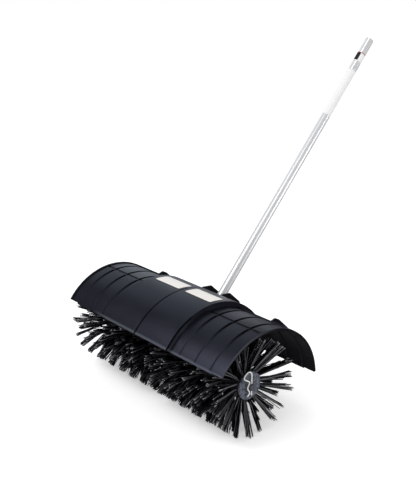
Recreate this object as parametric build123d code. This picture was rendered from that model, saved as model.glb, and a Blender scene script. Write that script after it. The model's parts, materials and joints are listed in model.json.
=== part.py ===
from build123d import *
import os
from math import acos, cos, degrees, pi, radians, sin, sqrt, tan

# Powered sweeping brush: a tilted boom tube drives a worm gear whose axle turns a bristle drum on
# each side, under a two-piece hood. Millimetres and degrees. X runs along the axle, the hood's open
# front faces -Y, the tube leans back towards +Y, Z is up. The origin is the tube's free end.

# Boom tube and drive shaft
TUBE_DIAMETER = 24.0
TUBE_WALL = 1.6
TUBE_TILT = 48.3
TUBE_REACH = 1039.0
INSERT_DEPTH = 50.0
MARK_GROOVE_WIDTH = 2.0
MARK_GROOVE_DEPTH = 0.4
DRIVE_ROD_DIAMETER = 8.0
DRIVE_SQUARE = 6.0
DRIVE_TIP_LENGTH = 22.0
DRIVE_TIP_RECESS = 8.0
BUSH_LENGTH = 28.0
BUSH_WAIST_DEPTH = 2.0
BUSH_COUNT = 3
BUSH_END_MARGIN = 90.0

# Worm gear
MODULE = 2.5
WHEEL_TEETH = 30
WORM_PITCH_DIAMETER = 25.0
WORM_HALF_TURNS = 3
PRESSURE_ANGLE = 20.0
TOOTH_THINNING = 0.4
TIP_CLEARANCE = 0.6
THREAD_SINK = 0.4
WHEEL_FACE = 20.0
WHEEL_RIM = 6.0
WHEEL_WEB = 8.0
WHEEL_HUB_DIAMETER = 32.0
WHEEL_HUB_LENGTH = 26.0
KEY_SIDE = 5.0
KEY_LENGTH = 20.0
WORM_SHOULDER_DIAMETER = 14.0
WORM_JOURNAL_DIAMETER = 10.0
JOURNAL_STANDOUT = 1.0
WORM_TIP_LENGTH = 14.0
COUPLING_DIAMETER = 15.0
COUPLING_GAP = 3.0

# Ball bearings
AXLE_BEARING_OUTER = 40.0
AXLE_BEARING_WIDTH = 12.0
AXLE_BALL_DIAMETER = 6.75
AXLE_BALL_COUNT = 8
WORM_BEARING_OUTER = 26.0
WORM_BEARING_WIDTH = 8.0
WORM_BALL_DIAMETER = 4.7
WORM_BALL_COUNT = 7
CAGE_THICKNESS = 1.6
RACE_LAND_SHARE = 0.55
CAGE_SHARE = 0.3

# Gear housing
HOUSING_WALL = 5.0
HOUSING_ROOM = 2.0
SEAT_STEP = 1.0
CASE_CHAMFER = 3.0
GASKET_THICKNESS = 0.6
RIM_WIDTH = 5.0
RIM_THICKNESS = 10.0
NECK_WALL = 5.5
NECK_SLIT = 2.0
TUBE_SOCKET_START = 84.0
FLANGE_WIDTH = 78.0
FLANGE_DEPTH = 46.0
FLANGE_THICKNESS = 9.0
FLANGE_CORNER = 8.0
HOUSING_SCREW_DIAMETER = 5.0
HOUSING_SCREW_ANGLES = (95, 145, 215, 265)
SCREW_BOSS_WALL = 3.5
CLAMP_SCREW_DIAMETER = 5.0
CLAMP_LUG_DIAMETER = 13.0
CLAMP_LUG_INSET = 1.0
DOWEL_DIAMETER = 4.0
DOWEL_ANGLES = (120, 240)
DOWEL_CAP = 2.0
PLUG_DIAMETER = 10.0
SEAL_OUTER = 32.0
SEAL_WIDTH = 6.0
SEAL_STEP = 1.0
SEAL_LIP_WALL = 1.5
SEAL_RING_WALL = 2.0
SEAL_GROOVE_DEPTH = 3.0
CIRCLIP_THICKNESS = 1.2
CIRCLIP_WIDTH = 3.0
CIRCLIP_GROOVE = 0.6

# Brush
AXLE_DIAMETER = 17.0
AXLE_STUB = 12.0
BRUSH_DIAMETER = 248.0
DRUM_DIAMETER = 70.0
DRUM_GAP = 7.65
DRUM_LENGTH = 237.0
BACKING_WALL = 2.5
CORE_WALL = 3.0
HUB_DIAMETER = 26.0
WEB_COUNT = 4
WEB_THICKNESS = 3.0
END_DISC_THICKNESS = 4.0
DISC_BOSS_HEIGHT = 4.0
DISC_BOSS_DIAMETER = 25.0
DISC_SPIGOT_LENGTH = 5.0
TUFT_RINGS = 12
TUFTS_PER_RING = 18
TUFT_ROOT = 6.5
TUFT_TIP = 9.5
TUFT_EDGE_MARGIN = 8.0
TUFT_SEAT_SHARE = 0.6
INNER_TIP_LEAN = 20.0
OUTER_TIP_LEAN = 26.0
DRIVE_PIN_DIAMETER = 6.0
DRIVE_PIN_LENGTH = 34.0
DRIVE_PIN_INSET = 6.0
CLIP_WIRE = 3.2
CLIP_LEG = 22.0
CLIP_LOOP_HEIGHT = 51.0
CLIP_LOOP_REACH = 29.0

# Hood
HOOD_OVERHANG = 32.0
BRUSH_CLEARANCE = 9.3
HOOD_WALL = 3.0
HOOD_SETBACK = 20.7
HOOD_DROP = 30.9
HOOD_FRONT_ANGLE = 53.4
HOOD_REAR_ANGLE = 84.7
PANEL_LENGTH = 249.0
PANEL_STEP = 13.5
STEP_DRAFT = 2.0
SEAM_GAP = 0.8
SEAM_CHAMFER = 1.0
RIM_BEAD_WIDTH = 5.0
RIM_BEAD_HEIGHT = 2.9
BEAD_COUNT = 3
BEAD_MARGIN = 36.0
BEAD_WIDTH = 9.0
BEAD_DEPTH = 3.2
LONG_GROOVE_ANGLES = (4.9, -25.8)
LONG_GROOVE_MARGIN = 9.0
LONG_GROOVE_WIDTH = 8.0
LONG_GROOVE_DEPTH = 1.8
BAND_ANGLES = (-27.5, -46.0)
BAND_HEIGHT = 3.2
HEM_INSET = 35.0
HEM_WIDTH = 6.0
HEM_DROP = 2.5
HEM_PROUD = 1.0
INNER_FIN_PLACE = 37.0
OUTER_FIN_OFFSET = 9.0
FIN_THICKNESS = 4.0
INNER_FIN_OUTLINE = [(-31, -9), (-34, 3), (-41.3, 18), (-54, 21.5), (-67, 15), (-79, -9)]
OUTER_FIN_OUTLINE = [(-34, -9), (-35.5, 5), (-38, 14.5), (-42, 17.5), (-55, 21), (-67, 14), (-77, -9)]
HOOD_SCREW_DIAMETER = 6.0
HOOD_SCREW_SPREAD = 56.0
HOOD_SCREW_PITCH = 28.0
HOOD_PAD_HEIGHT = 6.0
PAD_SKIN = 1.0
WASHER_THICKNESS = 1.2
TUBE_EXIT_ROOM = 2.0

# Edge break on turned pieces
EDGE_BREAK = 0.8

# Fits: gap on the radius, or beside a flat
PRESS_GAP = 0.02
RUNNING_GAP = 0.06
SLIP_GAP = 0.15
SCREW_ROOM = 0.3
RACE_GAP = 0.08

os.makedirs("parts", exist_ok=True)

SIDES = {"left": -1, "right": 1}
MIN = (Align.CENTER, Align.CENTER, Align.MIN)

axle_radius = AXLE_DIAMETER / 2
tube_radius = TUBE_DIAMETER / 2
tube_bore_radius = tube_radius - TUBE_WALL
rod_radius = DRIVE_ROD_DIAMETER / 2
wheel_pitch_radius = MODULE * WHEEL_TEETH / 2
worm_pitch_radius = WORM_PITCH_DIAMETER / 2
centre_distance = wheel_pitch_radius + worm_pitch_radius

# The gearbox frame: the worm and tube run along its Z, the axle lies along its X at -centre_distance
# on its Y. The brush frame, in which the rest is drawn, has the axle's middle as its origin.
tube_direction = Vector(0, cos(radians(TUBE_TILT)), sin(radians(TUBE_TILT)))
away_from_axle = Vector(0, sin(radians(TUBE_TILT)), -cos(radians(TUBE_TILT)))
worm_foot = away_from_axle * centre_distance
gearbox = Plane(origin=worm_foot, x_dir=(1, 0, 0), z_dir=tube_direction).location
hood_axis_place = Pos(0, HOOD_SETBACK, -HOOD_DROP)
tube_end = worm_foot + tube_direction * TUBE_REACH
to_tube_end = Pos(*(tube_end * -1))
at_axle = Pos(0, -centre_distance, 0)


def save(shape, node):
    """Write a node, moved from the brush frame to the tube's free end."""
    export_step(to_tube_end * shape, f"parts/{node}.step")


def save_gearbox(shape, node):
    """Write a node that was drawn in the gearbox frame."""
    save(gearbox * shape, node)


def group(solids):
    """Several separate solids as one node."""
    return Compound(children=list(solids))


def bar(radius, start, end):
    """A round bar along X."""
    return Pos(start, 0, 0) * Rot(0, 90, 0) * Cylinder(radius, end - start, align=MIN)


def post(radius, start, end):
    """A round post along Z."""
    return Pos(0, 0, start) * Cylinder(radius, end - start, align=MIN)


def turned(points):
    """A solid turned about Z from (radius, height) points."""
    return revolve(make_face(Polyline(*[(r, 0, z) for r, z in points], close=True)), Axis.Z)


def along_x(shape, side=1):
    """Lay a shape that was drawn along Z along +X, or along -X for side -1."""
    return Rot(0, 90 * side, 0) * shape


def cap_screw(diameter, length):
    """A socket cap screw of usual proportions: seat at z=0, the head above and the shank below."""
    head_height = diameter
    head_radius = 0.8 * diameter
    screw = post(head_radius, 0, head_height) + post(diameter / 2, -length, 0)
    socket = extrude(RegularPolygon(0.45 * diameter, 6), head_height)
    return screw - Pos(0, 0, head_height / 2) * socket


def square_tip(side, round_radius, start, end):
    """A square end milled on a round bar, so its corners keep the bar's roundness."""
    block = Pos(0, 0, (start + end) / 2) * Box(side, side, end - start)
    return block & post(round_radius, start, end)


# Boom tube: a drawn tube with a shallow ring that marks how far it goes into the clamp

tube_start = TUBE_SOCKET_START
mark_end = TUBE_REACH - INSERT_DEPTH
mark_start = mark_end - MARK_GROOVE_WIDTH
mark_radius = tube_radius - MARK_GROOVE_DEPTH
boom_tube = turned([
    (tube_bore_radius, tube_start),
    (tube_radius, tube_start),
    (tube_radius, mark_start),
    (mark_radius, mark_start),
    (mark_radius, mark_end),
    (tube_radius, mark_end),
    (tube_radius, TUBE_REACH),
    (tube_bore_radius, TUBE_REACH),
])
save_gearbox(boom_tube, "boom_tube")

# Worm shaft: one right-hand thread, a journal at each end and a square tip for the coupling

axial_pitch = pi * MODULE
worm_tip_radius = worm_pitch_radius + MODULE
worm_root_radius = worm_pitch_radius - MODULE - TIP_CLEARANCE
flank_slope = tan(radians(PRESSURE_ANGLE))
thread_half = axial_pitch / 4 - TOOTH_THINNING / 2
thread_root_radius = worm_root_radius - THREAD_SINK
root_half = thread_half + (worm_pitch_radius - thread_root_radius) * flank_slope
tip_half = thread_half - (worm_tip_radius - worm_pitch_radius) * flank_slope
# A quarter pitch short of whole turns, so that a thread lies in the wheel's tooth gap on its side
thread_reach = (WORM_HALF_TURNS - 0.25) * axial_pitch
worm_half = thread_reach + root_half
worm_shoulder = worm_half + MODULE
worm_bearing_end = worm_shoulder + WORM_BEARING_WIDTH
journal_radius = WORM_JOURNAL_DIAMETER / 2
journal_end = worm_bearing_end + JOURNAL_STANDOUT
worm_tip_end = journal_end + WORM_TIP_LENGTH
shoulder_radius = WORM_SHOULDER_DIAMETER / 2
worm_shaft = turned([
    (0, -worm_bearing_end),
    (journal_radius, -worm_bearing_end),
    (journal_radius, -worm_shoulder),
    (shoulder_radius, -worm_shoulder),
    (shoulder_radius, -worm_half),
    (worm_root_radius, -worm_half),
    (worm_root_radius, worm_half),
    (shoulder_radius, worm_half),
    (shoulder_radius, worm_shoulder),
    (journal_radius, worm_shoulder),
    (journal_radius, journal_end),
    (0, journal_end),
])
thread_path = Helix(axial_pitch, 2 * thread_reach, worm_pitch_radius)
thread_outline = Polyline(
    (thread_root_radius, 0, -root_half),
    (worm_tip_radius, 0, -tip_half),
    (worm_tip_radius, 0, tip_half),
    (thread_root_radius, 0, root_half),
    close=True,
)
thread = sweep(make_face(thread_outline), path=thread_path, is_frenet=True)
worm_shaft += Pos(0, 0, -thread_reach) * thread
worm_shaft += square_tip(DRIVE_SQUARE, journal_radius, journal_end, worm_tip_end)
save_gearbox(worm_shaft, "worm_shaft")

# Drive shaft and the coupling sleeve that joins it to the worm shaft

rod_start = worm_tip_end + COUPLING_GAP
rod_end = TUBE_REACH - DRIVE_TIP_RECESS
lower_tip_end = rod_start + DRIVE_TIP_LENGTH
upper_tip_start = rod_end - DRIVE_TIP_LENGTH
drive_shaft = post(rod_radius, lower_tip_end, upper_tip_start)
drive_shaft += square_tip(DRIVE_SQUARE, rod_radius, rod_start, lower_tip_end)
drive_shaft += square_tip(DRIVE_SQUARE, rod_radius, upper_tip_start, rod_end)
save_gearbox(drive_shaft, "drive_shaft")

coupling_start = journal_end
coupling_end = lower_tip_end
coupling_length = coupling_end - coupling_start
square_bore = DRIVE_SQUARE + 2 * PRESS_GAP
drive_coupling = post(COUPLING_DIAMETER / 2, coupling_start, coupling_end)
drive_coupling -= Pos(0, 0, coupling_start + coupling_length / 2) * Box(square_bore, square_bore, coupling_length)
drive_coupling = chamfer(drive_coupling.edges().filter_by(GeomType.CIRCLE), EDGE_BREAK)
save_gearbox(drive_coupling, "drive_coupling")

# Guide bushes: waisted sleeves pressed into the tube that carry the drive shaft

bush_bore = rod_radius + RUNNING_GAP
bush_land = BUSH_LENGTH / 4
bush_waist_radius = tube_bore_radius - BUSH_WAIST_DEPTH
bush = turned([
    (bush_bore, 0),
    (tube_bore_radius - PRESS_GAP, 0),
    (tube_bore_radius - PRESS_GAP, bush_land),
    (bush_waist_radius, bush_land),
    (bush_waist_radius, BUSH_LENGTH - bush_land),
    (tube_bore_radius - PRESS_GAP, BUSH_LENGTH - bush_land),
    (tube_bore_radius - PRESS_GAP, BUSH_LENGTH),
    (bush_bore, BUSH_LENGTH),
])
first_bush = tube_start + BUSH_END_MARGIN
last_bush = TUBE_REACH - BUSH_END_MARGIN - BUSH_LENGTH
bush_pitch = (last_bush - first_bush) / (BUSH_COUNT - 1)
save_gearbox(group(Pos(0, 0, first_bush + i * bush_pitch) * bush for i in range(BUSH_COUNT)), "shaft_bushes")

# Worm wheel: involute teeth, twisted over the face by the worm's lead angle


def tooth_thickness(radius):
    """Arc thickness of an involute tooth at a radius, from its thickness at the pitch circle."""
    base_radius = wheel_pitch_radius * cos(radians(PRESSURE_ANGLE))
    angle = acos(min(1, base_radius / radius))
    pitch_angle = radians(PRESSURE_ANGLE)
    involute_change = (tan(pitch_angle) - pitch_angle) - (tan(angle) - angle)
    pitch_thickness = pi * MODULE / 2 - TOOTH_THINNING
    return radius * (pitch_thickness / wheel_pitch_radius + 2 * involute_change)


wheel_tip_radius = wheel_pitch_radius + MODULE
wheel_root_radius = wheel_pitch_radius - MODULE - TIP_CLEARANCE
tooth_radii = (wheel_root_radius, wheel_pitch_radius, wheel_tip_radius)
tooth_pitch = 360 / WHEEL_TEETH


def wheel_outline(turn):
    """The toothed outline on the YZ plane, with a gap on +Y before it is turned about X by an angle."""
    points = []
    for tooth in range(WHEEL_TEETH):
        middle = (tooth + 0.5) * tooth_pitch + turn
        half_angles = [degrees(tooth_thickness(r) / r / 2) for r in tooth_radii]
        flank = list(zip(tooth_radii, half_angles))
        for radius, half in flank:
            points.append((radius, middle - half))
        for radius, half in reversed(flank):
            points.append((radius, middle + half))
    corners = [(0, r * cos(radians(a)), r * sin(radians(a))) for r, a in points]
    return make_face(Polyline(*corners, close=True))


lead_slope = axial_pitch / (pi * WORM_PITCH_DIAMETER)
wheel_twist = degrees(WHEEL_FACE * lead_slope / wheel_pitch_radius)
gap_to_worm = TUBE_TILT - 90
near_face = Pos(-WHEEL_FACE / 2, 0, 0) * wheel_outline(gap_to_worm - wheel_twist / 2)
far_face = Pos(WHEEL_FACE / 2, 0, 0) * wheel_outline(gap_to_worm + wheel_twist / 2)
worm_wheel = loft([near_face, far_face], ruled=True)
hub_half = WHEEL_HUB_LENGTH / 2
wheel_hub_radius = WHEEL_HUB_DIAMETER / 2
rim_inner = wheel_root_radius - WHEEL_RIM
web_recess = bar(rim_inner, WHEEL_WEB / 2, WHEEL_FACE) - bar(wheel_hub_radius, 0, WHEEL_FACE)
worm_wheel -= web_recess
worm_wheel -= mirror(web_recess, Plane.YZ)
worm_wheel += bar(wheel_hub_radius, -hub_half, hub_half)
worm_wheel -= bar(axle_radius + PRESS_GAP, -hub_half, hub_half)
key_slot = KEY_SIDE + 2 * PRESS_GAP
key_top = axle_radius + KEY_SIDE / 2
keyway_depth = key_top + PRESS_GAP
worm_wheel -= Pos(0, 0, keyway_depth / 2) * Box(WHEEL_HUB_LENGTH, key_slot, keyway_depth)
save(worm_wheel, "worm_wheel")

key = Pos(0, 0, axle_radius) * Box(KEY_LENGTH, KEY_SIDE, KEY_SIDE)
save(key, "wheel_key")

# Bearings: rings with a round race each, and balls in a cage between them


def bearing(bore_radius, outer_radius, width, ball_diameter, ball_count):
    """Inner ring, outer ring and ball set of a ball bearing, along Z from z=0."""
    middle = (bore_radius + outer_radius) / 2
    ball_radius = ball_diameter / 2
    land = RACE_LAND_SHARE * ball_radius
    race = Pos(0, 0, width / 2) * Torus(middle, ball_radius + RACE_GAP)
    inner_ring = post(middle - land, 0, width) - post(bore_radius, 0, width) - race
    outer_ring = post(outer_radius, 0, width) - post(middle + land, 0, width) - race
    cage_half = CAGE_SHARE * ball_radius
    cage = post(middle + cage_half, 0, CAGE_THICKNESS) - post(middle - cage_half, 0, CAGE_THICKNESS)
    ball_set = Pos(0, 0, (width - CAGE_THICKNESS) / 2) * cage
    for ball in PolarLocations(middle, ball_count):
        ball_set += Pos(0, 0, width / 2) * ball * Sphere(ball_radius)
    return inner_ring, outer_ring, ball_set


axle_bearing_start = hub_half
axle_bearing_end = axle_bearing_start + AXLE_BEARING_WIDTH
bearing_outer_radius = AXLE_BEARING_OUTER / 2
axle_bearing = bearing(axle_radius + PRESS_GAP, bearing_outer_radius, AXLE_BEARING_WIDTH,
                       AXLE_BALL_DIAMETER, AXLE_BALL_COUNT)
worm_bearing = bearing(journal_radius + PRESS_GAP, WORM_BEARING_OUTER / 2, WORM_BEARING_WIDTH,
                       WORM_BALL_DIAMETER, WORM_BALL_COUNT)
bearing_pieces = ("inner", "outer", "balls")
for side, sign in SIDES.items():
    for name, solid in zip(bearing_pieces, axle_bearing):
        placed = along_x(Pos(0, 0, axle_bearing_start) * solid, sign)
        save(placed, f"axle_bearing_{name}_{side}")
for place, start in {"lower": -worm_bearing_end, "upper": worm_shoulder}.items():
    for name, solid in zip(bearing_pieces, worm_bearing):
        save_gearbox(Pos(0, 0, start) * solid, f"worm_bearing_{name}_{place}")

# Axle: a ground bar with the key's slot, circlip grooves and cross holes for pins and clips

circlip_start = axle_bearing_end
seal_start = circlip_start + CIRCLIP_THICKNESS + SLIP_GAP + SEAL_STEP
seal_end = seal_start + SEAL_WIDTH
drum_start = seal_end + DRUM_GAP
drum_end = drum_start + DRUM_LENGTH
axle_half = drum_end + AXLE_STUB
drive_pin_place = drum_start + DRIVE_PIN_INSET
clip_place = drum_end + DISC_BOSS_HEIGHT + CLIP_WIRE / 2 + SLIP_GAP
clip_hole_radius = CLIP_WIRE / 2 + SLIP_GAP
pin_hole_radius = DRIVE_PIN_DIAMETER / 2 + PRESS_GAP
axle = bar(axle_radius, -axle_half, axle_half)
axle = chamfer(axle.edges(), EDGE_BREAK)
axle -= Pos(0, 0, axle_radius) * Box(KEY_LENGTH + 2 * PRESS_GAP, key_slot, KEY_SIDE + 2 * PRESS_GAP)
circlip_groove_radius = axle_radius - CIRCLIP_GROOVE
circlip_groove = post(AXLE_DIAMETER, 0, CIRCLIP_THICKNESS) - post(circlip_groove_radius, 0, CIRCLIP_THICKNESS)
for sign in SIDES.values():
    axle -= along_x(Pos(0, 0, circlip_start) * circlip_groove, sign)
    axle -= Pos(sign * drive_pin_place, 0, 0) * Cylinder(pin_hole_radius, AXLE_DIAMETER)
    axle -= Pos(sign * clip_place, 0, 0) * Cylinder(clip_hole_radius, AXLE_DIAMETER)
save(axle, "axle")

circlip_inner = circlip_groove_radius + PRESS_GAP
circlip = post(circlip_inner + CIRCLIP_WIDTH, 0, CIRCLIP_THICKNESS) - post(circlip_inner, 0, CIRCLIP_THICKNESS)
circlip_mouth = Pos(0, axle_radius, CIRCLIP_THICKNESS / 2) * Box(axle_radius, AXLE_DIAMETER, CIRCLIP_THICKNESS)
circlip -= circlip_mouth
circlip = Pos(0, 0, circlip_start) * circlip
save(group(along_x(circlip, sign) for sign in SIDES.values()), "axle_circlips")

drive_pin = Cylinder(DRIVE_PIN_DIAMETER / 2, DRIVE_PIN_LENGTH)
drive_pin = chamfer(drive_pin.edges(), EDGE_BREAK)
save(group(Pos(sign * drive_pin_place, 0, 0) * drive_pin for sign in SIDES.values()), "drive_pins")

# Axle seals: rubber rings with a lip groove, pressed into the housing outside the bearings

seal_radius = SEAL_OUTER / 2
seal_bore = axle_radius + RUNNING_GAP
seal_lip = seal_bore + SEAL_LIP_WALL
seal_ring = seal_radius - SEAL_RING_WALL
seal_groove = seal_end - SEAL_GROOVE_DEPTH
seal = turned([
    (seal_bore, seal_start),
    (seal_radius, seal_start),
    (seal_radius, seal_end),
    (seal_ring, seal_end),
    (seal_ring, seal_groove),
    (seal_lip, seal_groove),
    (seal_lip, seal_end),
    (seal_bore, seal_end),
])
for side, sign in SIDES.items():
    save(along_x(seal, sign), f"axle_seal_{side}")

# Gear housing, drawn whole in the gearbox frame and split at X=0

wheel_room = wheel_tip_radius + HOUSING_ROOM
worm_room = worm_tip_radius + HOUSING_ROOM
boss_end = seal_end
boss_radius = bearing_outer_radius + HOUSING_WALL
chamber_radius = wheel_room + HOUSING_WALL
chamber_half = hub_half + HOUSING_WALL
worm_case_radius = worm_room + HOUSING_WALL
worm_case_end = worm_bearing_end + HOUSING_WALL
neck_radius = tube_radius + NECK_WALL
neck_start = worm_case_end + (worm_case_radius - neck_radius)

# The hood's wall where the tube passes it, measured along the tube from the worm's middle
hood_axis_point = Vector(0, HOOD_SETBACK, -HOOD_DROP)
foot_from_hood = worm_foot - hood_axis_point


def distance_to_hood(radius, depth):
    """How far along the tube's direction a circle about the hood's axis lies, at a local Y of depth."""
    start = foot_from_hood + away_from_axle * depth
    along = start.dot(tube_direction)
    return -along + sqrt(along ** 2 - start.dot(start) + radius ** 2)


axis_offset = sqrt(HOOD_SETBACK ** 2 + HOOD_DROP ** 2)
wing_inner = BRUSH_DIAMETER / 2 + axis_offset + BRUSH_CLEARANCE
wing_radius = wing_inner + HOOD_WALL
panel_radius = wing_radius + PANEL_STEP
hood_inner_radius = panel_radius - HOOD_WALL
flange_top = distance_to_hood(hood_inner_radius, 0) - HOOD_PAD_HEIGHT
flange_bottom = flange_top - FLANGE_THICKNESS

housing = at_axle * bar(chamber_radius, -chamber_half, chamber_half)
housing += at_axle * bar(boss_radius, -boss_end, boss_end)
housing += turned([
    (0, -worm_case_end),
    (worm_case_radius - CASE_CHAMFER, -worm_case_end),
    (worm_case_radius, CASE_CHAMFER - worm_case_end),
    (worm_case_radius, worm_case_end),
    (neck_radius, neck_start),
    (neck_radius, flange_top),
    (0, flange_top),
])
rim_radius = chamber_radius + RIM_WIDTH
rim_half = RIM_THICKNESS / 2
rim_reach = worm_case_radius + RIM_WIDTH
housing += at_axle * bar(rim_radius, -rim_half, rim_half)
case_rim = Box(RIM_THICKNESS, 2 * rim_reach, 2 * (worm_case_end + RIM_WIDTH))
housing += fillet(case_rim.edges().filter_by(Axis.X), RIM_WIDTH + CASE_CHAMFER)
flange = Box(FLANGE_WIDTH, FLANGE_DEPTH, FLANGE_THICKNESS)
flange = fillet(flange.edges().filter_by(Axis.Z), FLANGE_CORNER)
housing += Pos(0, 0, (flange_top + flange_bottom) / 2) * flange

# Screw bosses on the rim and clamp lugs beside the neck
screw_boss_radius = HOUSING_SCREW_DIAMETER / 2 + SCREW_BOSS_WALL
screw_ring = chamber_radius + HOUSING_SCREW_DIAMETER
boss_half = chamber_half
case_screw_y = worm_case_radius + HOUSING_SCREW_DIAMETER
housing_screw_places = [
    (-centre_distance + screw_ring * cos(radians(a)), screw_ring * sin(radians(a)))
    for a in HOUSING_SCREW_ANGLES
]
housing_screw_places += [(case_screw_y, z) for z in (-worm_bearing_end, worm_bearing_end)]
for y, z in housing_screw_places:
    housing += Pos(0, y, z) * bar(screw_boss_radius, -boss_half, boss_half)
lug_radius = CLAMP_LUG_DIAMETER / 2
lug_y = tube_radius + lug_radius
lug_half = neck_radius - CLAMP_LUG_INSET
lug_low = TUBE_SOCKET_START + CLAMP_LUG_DIAMETER
lug_high = flange_bottom - CLAMP_LUG_DIAMETER
clamp_places = [(y, z) for y in (-lug_y, lug_y) for z in (lug_low, lug_high)]
for y, z in clamp_places:
    housing += Pos(0, y, z) * bar(lug_radius, -lug_half, lug_half)

# Everything inside: wheel room, worm room, bearing and seal seats, coupling passage, tube socket
seat_radius = bearing_outer_radius + PRESS_GAP
worm_seat_radius = WORM_BEARING_OUTER / 2 + PRESS_GAP
passage_radius = COUPLING_DIAMETER / 2 + HOUSING_ROOM
socket_radius = tube_radius + PRESS_GAP
housing -= at_axle * bar(wheel_room, -hub_half, hub_half)
housing -= at_axle * bar(seat_radius, -axle_bearing_end, axle_bearing_end)
housing -= at_axle * bar(seal_radius - SEAT_STEP, -seal_start, seal_start)
housing -= at_axle * bar(seal_radius + PRESS_GAP, -boss_end, -seal_start)
housing -= at_axle * bar(seal_radius + PRESS_GAP, seal_start, boss_end)
housing -= post(worm_room, -worm_half, worm_half)
housing -= post(worm_seat_radius - 2 * SEAT_STEP, -worm_shoulder, worm_shoulder)
housing -= post(worm_seat_radius, -worm_bearing_end, -worm_shoulder)
housing -= post(worm_seat_radius, worm_shoulder, worm_bearing_end)
housing -= post(passage_radius, worm_bearing_end, TUBE_SOCKET_START)
housing -= post(socket_radius, TUBE_SOCKET_START, flange_top)

# Hood screws come up through the flange
hood_screw_places = [
    (sx * HOOD_SCREW_SPREAD / 2, sy * HOOD_SCREW_PITCH / 2) for sx in (-1, 1) for sy in (-1, 1)
]
hood_screw_room = HOOD_SCREW_DIAMETER / 2 + SCREW_ROOM
for x, y in hood_screw_places:
    housing -= Pos(x, y, 0) * post(hood_screw_room, flange_bottom, flange_top)

# Cross holes for the screws and dowels: wide on the head's side, close on the thread's side
gasket_half = GASKET_THICKNESS / 2
dowel_places = [
    (-centre_distance + screw_ring * cos(radians(a)), screw_ring * sin(radians(a)))
    for a in DOWEL_ANGLES
]
thread_radius = HOUSING_SCREW_DIAMETER / 2 + PRESS_GAP
clear_radius = HOUSING_SCREW_DIAMETER / 2 + SCREW_ROOM
clamp_thread_radius = CLAMP_SCREW_DIAMETER / 2 + PRESS_GAP
clamp_clear_radius = CLAMP_SCREW_DIAMETER / 2 + SCREW_ROOM
dowel_half = 2 * DOWEL_DIAMETER
dowel_boss_half = dowel_half + DOWEL_CAP
for y, z in housing_screw_places:
    housing -= Pos(0, y, z) * bar(clear_radius, -boss_half, 0)
    housing -= Pos(0, y, z) * bar(thread_radius, 0, boss_half)
for y, z in clamp_places:
    housing -= Pos(0, y, z) * bar(clamp_clear_radius, -lug_half, 0)
    housing -= Pos(0, y, z) * bar(clamp_thread_radius, 0, lug_half)
for y, z in dowel_places:
    housing += Pos(0, y, z) * bar(DOWEL_DIAMETER, -dowel_boss_half, dowel_boss_half)
    housing -= Pos(0, y, z) * bar(DOWEL_DIAMETER / 2 + PRESS_GAP, -dowel_half, dowel_half)

# Grease plug: a threaded hole through the right side wall, beside the bearing boss
plug_radius = PLUG_DIAMETER / 2
plug_y = -centre_distance - (boss_radius + chamber_radius) / 2
plug_place = Pos(0, plug_y, 0)
housing -= plug_place * bar(plug_radius + PRESS_GAP, hub_half, chamber_half)

# The split: a gasket round the gear chambers, and an open slit where the neck clamps the tube
gasket_top = TUBE_SOCKET_START
big = 4 * chamber_radius + 2 * flange_top
slit = Pos(0, 0, gasket_top + big / 2) * Box(NECK_SLIT, big, big)
housing -= slit
half_box = {sign: Pos(sign * (gasket_half + big / 2), 0, 0) * Box(big, big, big) for sign in SIDES.values()}
gasket = housing & Box(GASKET_THICKNESS, big, big)
for side, sign in SIDES.items():
    save_gearbox(housing & half_box[sign], f"gear_housing_{side}")
save_gearbox(gasket, "housing_gasket")

screw_length = 2 * boss_half
housing_screw = Pos(-boss_half, 0, 0) * along_x(cap_screw(HOUSING_SCREW_DIAMETER, screw_length), -1)
save_gearbox(group(Pos(0, y, z) * housing_screw for y, z in housing_screw_places), "housing_screws")
clamp_screw = Pos(-lug_half, 0, 0) * along_x(cap_screw(CLAMP_SCREW_DIAMETER, 2 * lug_half), -1)
save_gearbox(group(Pos(0, y, z) * clamp_screw for y, z in clamp_places), "clamp_screws")
dowel = bar(DOWEL_DIAMETER / 2, -dowel_half, dowel_half)
save_gearbox(group(Pos(0, y, z) * dowel for y, z in dowel_places), "housing_dowels")
plug_head = extrude(RegularPolygon(PLUG_DIAMETER * 0.75, 6), PLUG_DIAMETER / 3)
plug = plug_head + post(plug_radius, hub_half - chamber_half, 0)
grease_plug = plug_place * Pos(chamber_half, 0, 0) * along_x(plug)
save_gearbox(grease_plug, "grease_plug")

# Drum: a ribbed core on the axle, driven by the pin in its inner end, closed by an end disc

drum_radius = DRUM_DIAMETER / 2
core_radius = drum_radius - BACKING_WALL
core_end = drum_end - END_DISC_THICKNESS
core_inner = core_radius - CORE_WALL
hub_radius = HUB_DIAMETER / 2
core_length = core_end - drum_start
core = post(core_radius, drum_start, core_end) - post(core_inner, drum_start, core_end)
web = Pos((core_inner + hub_radius) / 2, 0, (drum_start + core_end) / 2) * Box(
    core_inner - hub_radius + CORE_WALL, WEB_THICKNESS, core_length)
spigot_start = core_end - DISC_SPIGOT_LENGTH
for turn in PolarLocations(0, WEB_COUNT):
    core += Rot(0, 0, 180 / WEB_COUNT) * turn * web
core -= post(core_inner, spigot_start, core_end)
core += post(hub_radius, drum_start, spigot_start)
core -= post(axle_radius + SLIP_GAP, drum_start, core_end)
pin_slot_end = drive_pin_place + DRIVE_PIN_DIAMETER / 2 + SLIP_GAP
pin_slot_width = DRIVE_PIN_DIAMETER + 2 * SLIP_GAP
pin_slot = Box(DRIVE_PIN_LENGTH + 2 * SLIP_GAP, pin_slot_width, pin_slot_end - drum_start, align=MIN)
core -= Pos(0, 0, drum_start) * pin_slot
disc_boss_radius = DISC_BOSS_DIAMETER / 2
spigot_radius = core_inner - PRESS_GAP
disc_bore = axle_radius + SLIP_GAP
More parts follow.
